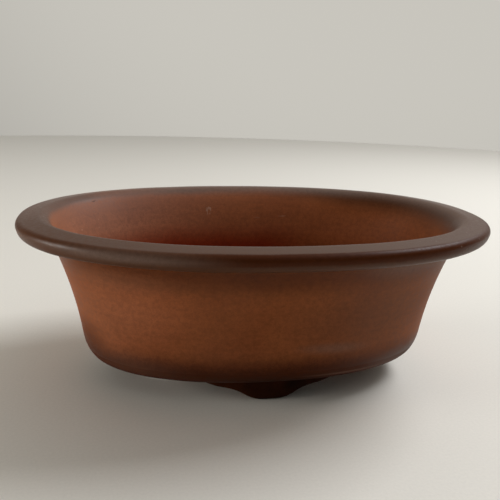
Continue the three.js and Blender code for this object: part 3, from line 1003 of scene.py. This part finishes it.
WALL_SKIN = np.vstack([OUTER_WALL[::-1], INNER_WALL])
COIL_SKIN = np.vstack([INNER_COIL[::-1], COVE[1:]])
SWEPT = (
    ("lip", LIP_SKIN, 0, 4, LIP_CLAY, "rim_lip", "lip_clay"),
    ("back_wall", WALL_SKIN, 0, 2, WALL_CLAY, "wall_back", "wall_clay"),
    ("front_wall", WALL_SKIN, 2, 4, WALL_CLAY, "wall_front", "wall_clay"),
    ("inside_coil", COIL_SKIN, 0, 4, FLOOR_CLAY, "corner_coil", "floor_clay"),
)


def make_swept():
    """The lip, the two wall halves that meet on the long axis, and the coil in the inside corner."""
    for name, skin, first, last, clay, node, slot in SWEPT:
        finish_piece(sweep(name, skin, first, last, clay), node)


def hole_rings(radius, bevel, steps):
    """Radius and height of each ring of a hole with softened edges, from the floor to the underside."""
    angle = np.linspace(0, math.pi / 2, steps + 1)
    soft = [(radius + bevel * (1 - math.sin(a)), bevel * (1 - math.cos(a))) for a in angle]
    upper = [(r, FLOOR_HEIGHT - depth) for r, depth in soft]
    return upper + [(r, FOOT_HEIGHT + depth) for r, depth in reversed(soft)]


def holes():
    """Each hole of the floor: its centre, its rings, and how many points each ring has."""
    found = []
    for side in (-1, 1):
        drain = Vector((side * DRAIN_SPACING / 2, 0))
        found.append((drain, hole_rings(DRAIN_RADIUS, DRAIN_BEVEL, DRAIN_BEVEL_STEPS), DRAIN_POINTS))
        for end in (-1, 1):
            wire = Vector((end * WIRE_HOLE_SPACING[0] / 2, side * WIRE_HOLE_SPACING[1] / 2))
            rings = hole_rings(WIRE_HOLE_RADIUS, WIRE_HOLE_BEVEL, WIRE_HOLE_BEVEL_STEPS)
            found.append((wire, rings, WIRE_HOLE_POINTS))
    return found


# How level faces are filled

MARGIN_SHARE = 0.975
GRID_SHARE = 0.93
HOLE_SHARE = 0.999
MERGE_DISTANCE = 1e-7


def flat_face(shell, outline, rims, height):
    """Fills a level face between its outline and the rims of its holes with even triangles."""
    loops = [outline, *rims]
    known = [vertex for loop in loops for vertex in loop]
    edges = []
    for loop in loops:
        first = known.index(loop[0])
        edges += [(first + i, first + (i + 1) % len(loop)) for i in range(len(loop))]
    centres = [(sum((v.co.xy for v in rim), Vector((0, 0))) / len(rim)) for rim in rims]
    radii = [(rim[0].co.xy - centre).length for rim, centre in zip(rims, centres)]
    coordinates = [vertex.co.xy.copy() for vertex in known]
    margin = [vertex.co.xy * MARGIN_SHARE for vertex in outline[::2]]
    reach_x = max(point.x for point in margin)
    reach_y = max(point.y for point in margin)
    inner = list(margin)
    for x in np.arange(-reach_x, reach_x, FACE_GRID):
        for y in np.arange(-reach_y, reach_y, FACE_GRID):
            share = abs(x / reach_x) ** (2 / OUTLINE_POWER) + abs(y / reach_y) ** (2 / OUTLINE_POWER)
            spot = Vector((x, y))
            clear = all((spot - c).length > r + FACE_GRID / 2 for c, r in zip(centres, radii))
            if share < GRID_SHARE and clear:
                inner.append(spot)
    found = delaunay_2d_cdt(coordinates + inner, edges, [], 0, MERGE_DISTANCE)
    points, triangles, origins = found[0], found[2], found[3]
    vertices = []
    for point, origin in zip(points, origins):
        old = [i for i in origin if i < len(known)]
        vertices.append(known[old[0]] if old else shell.verts.new((*point, height)))
    for triangle in triangles:
        middle = sum((vertices[i].co.xy for i in triangle), Vector((0, 0))) / 3
        if all((middle - c).length > r * HOLE_SHARE for c, r in zip(centres, radii)):
            shell.faces.new([vertices[i] for i in triangle])


def make_slab():
    """The floor slab: rounded edge, level floor and underside, two drains and four tie-wire holes."""
    side = OUTER_SLAB[::-1]
    count = 4 * STATIONS_PER_QUARTER
    quarters = [i / STATIONS_PER_QUARTER for i in range(count)]
    mesh = strip("floor_slab", [side] * count, quarters, False, True, FLOOR_CLAY)
    width = len(side)

    shell = bmesh.new()
    shell.from_mesh(mesh)
    shell.verts.ensure_lookup_table()
    underside = [shell.verts[i * width] for i in range(count)]
    floor = [shell.verts[i * width + width - 1] for i in range(count)]
    floor_rims, underside_rims = [], []
    for centre, rings, steps in holes():
        loops = []
        for radius, height in rings:
            turn = [2 * math.pi * i / steps for i in range(steps)]
            loops.append([
                shell.verts.new((centre.x + radius * math.cos(a), centre.y + radius * math.sin(a), height))
                for a in turn
            ])
        for upper, lower in zip(loops, loops[1:]):
            for i in range(steps):
                j = (i + 1) % steps
                shell.faces.new((upper[i], upper[j], lower[j], lower[i]))
        floor_rims.append(loops[0])
        underside_rims.append(loops[-1])
    flat_face(shell, floor, floor_rims, FLOOR_HEIGHT)
    flat_face(shell, underside, underside_rims, FOOT_HEIGHT)
    run = shell.verts.layers.float["run"]
    for vertex in shell.verts:
        if vertex[run] == 0 and vertex.co.z > FOOT_HEIGHT + DRAIN_BEVEL:
            vertex[run] = SECTION_RUNS[-1]
    shell.to_mesh(mesh)
    shell.free()
    finish_piece(mesh, "base_slab")


def cloud_edge():
    """Lower edge of half a foot, as (distance from its middle, height)."""
    half_toe = TOE_LENGTH / 2
    wing = FOOT_LENGTH / 2 - half_toe
    bends = [(half_toe + run * wing, rise * FOOT_HEIGHT) for run, rise in CLOUD_SHARES]
    corner_end, cove_bend, cove_end, wing_bend, wing_tip = bends
    toe_end = (2 * half_toe - corner_end[0], 0)
    return np.vstack([
        np.linspace((0, 0), toe_end, TOE_STEPS + 1)[:-1],
        curve(toe_end, (half_toe, 0), corner_end, TOE_CORNER_STEPS)[:-1],
        curve(corner_end, cove_bend, cove_end, FOOT_COVE_STEPS)[:-1],
        curve(cove_end, wing_bend, wing_tip, WING_STEPS),
    ])


def foot_section(lower):
    """Section across a foot where its lower edge is at that height."""
    front = FLAT_INSET + FOOT_SETBACK
    back = front + FOOT_DEPTH
    drawn_in = FOOT_DRAFT * (1 - lower / FOOT_HEIGHT)
    edge = min(FOOT_EDGE, (FOOT_HEIGHT - lower) * FOOT_EDGE_SHARE)
    points = FOOT_SECTION_STEPS + 1
    angle = np.linspace(0, math.pi / 2, points)
    soft = np.column_stack([edge * (1 - np.sin(angle)), edge * (1 - np.cos(angle))])
    back_edge = [(back - drawn_in - x, lower + z) for x, z in soft[::-1]]
    front_edge = [(front + drawn_in + x, lower + z) for x, z in soft]
    level = [(x, FOOT_HEIGHT) for x in np.linspace(front, back, points)]
    sole = np.linspace(back_edge[-1], front_edge[0], points)[1:-1]
    return np.vstack([level, back_edge, sole, front_edge])


def make_feet():
    """Three cloud feet, bent along the underside a third of its edge apart from the middle of the front."""
    half = cloud_edge()
    whole = np.vstack([half[:0:-1] * (-1, 1), half])
    rows = [foot_section(lower) for lower in whole[:, 1]]
    inset = FLAT_INSET + FOOT_SETBACK
    edge = np.array([oval(quarters, inset) for quarters in np.linspace(0, 4, EDGE_STEPS + 1)])
    spacing = run_lengths(edge)[-1] / len(FEET)
    for side, place in FEET:
        quarters = quarters_along(FRONT, place * spacing + whole[:, 0], inset)
        mesh = strip(f"{side}_foot", rows, quarters, True, False, FOOT_CLAY)
        finish_piece(mesh, f"foot_{side}")


make_swept()
make_slab()
make_feet()


# Camera, at the photograph's viewing angle

VIEW_DISTANCE = 372.15 * MM
VIEW_HEIGHT = 164.68 * MM
VIEW_TURN = math.radians(11.356)
VIEW_PAN = math.radians(-0.567)
VIEW_PITCH = math.radians(14.461)
VIEW_ROLL = math.radians(-1.811)
FOCAL_PIXELS = 671.5
FRAME_PIXELS = 500
SENSOR_WIDTH = 36
CLIP_START = 0.01


def make_camera():
    """The camera stands to the left of the pot's middle, and looks down on the rim."""
    lens = bpy.data.cameras.new("camera")
    lens.sensor_width = SENSOR_WIDTH
    lens.lens = FOCAL_PIXELS / FRAME_PIXELS * lens.sensor_width
    lens.clip_start = CLIP_START
    camera = new_object("camera", lens)
    place = Vector((-math.sin(VIEW_TURN), -math.cos(VIEW_TURN), 0)) * VIEW_DISTANCE
    place.z = VIEW_HEIGHT
    heading = Matrix.Rotation(-(VIEW_TURN + VIEW_PAN), 4, "Z")
    pitch = Matrix.Rotation(math.pi / 2 - VIEW_PITCH, 4, "X")
    roll = Matrix.Rotation(-VIEW_ROLL, 4, "Z")
    camera.matrix_world = Matrix.Translation(place) @ heading @ pitch @ roll
    bpy.context.scene.camera = camera


# Studio

GROUND_RADIUS = 1.5
GROUND_SEGMENTS = 96
GROUND_DROP = 0.05 * MM
GROUND_DARKER = (0.75, 0.722, 0.657, 1)
GROUND_LIGHTER = (0.85, 0.818, 0.744, 1)
GROUND_MOTTLE_SCALE = 700.0
GROUND_ROUGHNESS = 0.6
GROUND_GLOSS = 0.2

# Lamps: azimuth and elevation in degrees, distance, sides, level, colour

LAMPS = {
    "window": (17.6, 47.8, 1.5, (0.8, 0.36), 0.755, (0.945, 0.96, 1)),
    "side_window": (180, 9, 1.3, (0.42, 0.45), 0.65, (1, 0.97, 0.92)),
}

# Bright patches of the room: azimuth, elevation, full out to, gone at (degrees), colour

ROOM_DIM = (0.03, 0.029, 0.028, 1)
ROOM_PATCHES = (
    (68, 22, 20, 72, (0.58, 0.56, 0.51, 1)),
    (200, 56, 12, 38, (0.18, 0.175, 0.165, 1)),
    (316, 56, 14, 42, (0.62, 0.61, 0.59, 1)),
)


def make_floor():
    """A plain pale floor."""
    mesh = bpy.data.meshes.new("floor")
    shell = bmesh.new()
    bmesh.ops.create_circle(shell, cap_ends=True, segments=GROUND_SEGMENTS, radius=GROUND_RADIUS)
    shell.to_mesh(mesh)
    shell.free()
    material = bpy.data.materials.new("pale_floor")
    material.use_nodes = True
    tree = material.node_tree
    place = tree.nodes.new("ShaderNodeTexCoord").outputs["Object"]
    mottle = noise(tree, place, GROUND_MOTTLE_SCALE, detail=3.0, seed=6.0)
    fill_named(tree, tree.nodes["Principled BSDF"], {
        "Base Color": blend(tree, mottle, GROUND_DARKER, GROUND_LIGHTER),
        "Roughness": GROUND_ROUGHNESS, "Specular IOR Level": GROUND_GLOSS,
    })
    mesh.materials.append(material)
    floor = new_object("floor", mesh)
    floor.location.z = -GROUND_DROP


def towards(azimuth, elevation):
    """The unit vector in a direction given in degrees."""
    turn, rise = math.radians(azimuth), math.radians(elevation)
    return Vector((math.cos(turn) * math.cos(rise), math.sin(turn) * math.cos(rise), math.sin(rise)))


def make_lamp(name, azimuth, elevation, distance, size, level, colour):
    """A soft lamp that looks at the pot; its level is what it adds to a white sheet that faces it."""
    lamp = bpy.data.lights.new(name, "AREA")
    lamp.shape = "RECTANGLE"
    lamp.size, lamp.size_y = size
    lamp.energy = level * math.pi**2 * distance**2
    lamp.color = colour
    holder = new_object(name, lamp)
    direction = towards(azimuth, elevation)
    holder.location = direction * distance
    holder.rotation_euler = direction.to_track_quat("Z", "Y").to_euler()
    holder.visible_camera = False


def patch_of_room(tree, direction, azimuth, elevation, core, reach):
    """The mask of a round patch of the room, full out to its core and gone at its reach, in degrees."""
    middle = towards(azimuth, elevation)
    nearness = add(tree, "ShaderNodeVectorMath", direction, middle, operation="DOT_PRODUCT").outputs["Value"]
    return ease(tree, nearness, math.cos(math.radians(reach)), math.cos(math.radians(core)))


def make_room():
    """A dim room: a pale wall behind the pot, a faint patch on the left, a bright one high in front."""
    world = bpy.data.worlds.new("room")
    world.use_nodes = True
    tree = world.node_tree
    direction = tree.nodes.new("ShaderNodeTexCoord").outputs["Generated"]
    colour = ROOM_DIM
    for azimuth, elevation, core, reach, bright in ROOM_PATCHES:
        colour = blend(tree, patch_of_room(tree, direction, azimuth, elevation, core, reach), colour, bright)
    fill(tree, tree.nodes["Background"].inputs["Color"], colour)
    bpy.context.scene.world = world


make_camera()
make_floor()
for lamp, values in LAMPS.items():
    make_lamp(lamp, *values)
make_room()
bpy.context.scene.view_settings.view_transform = "Standard"
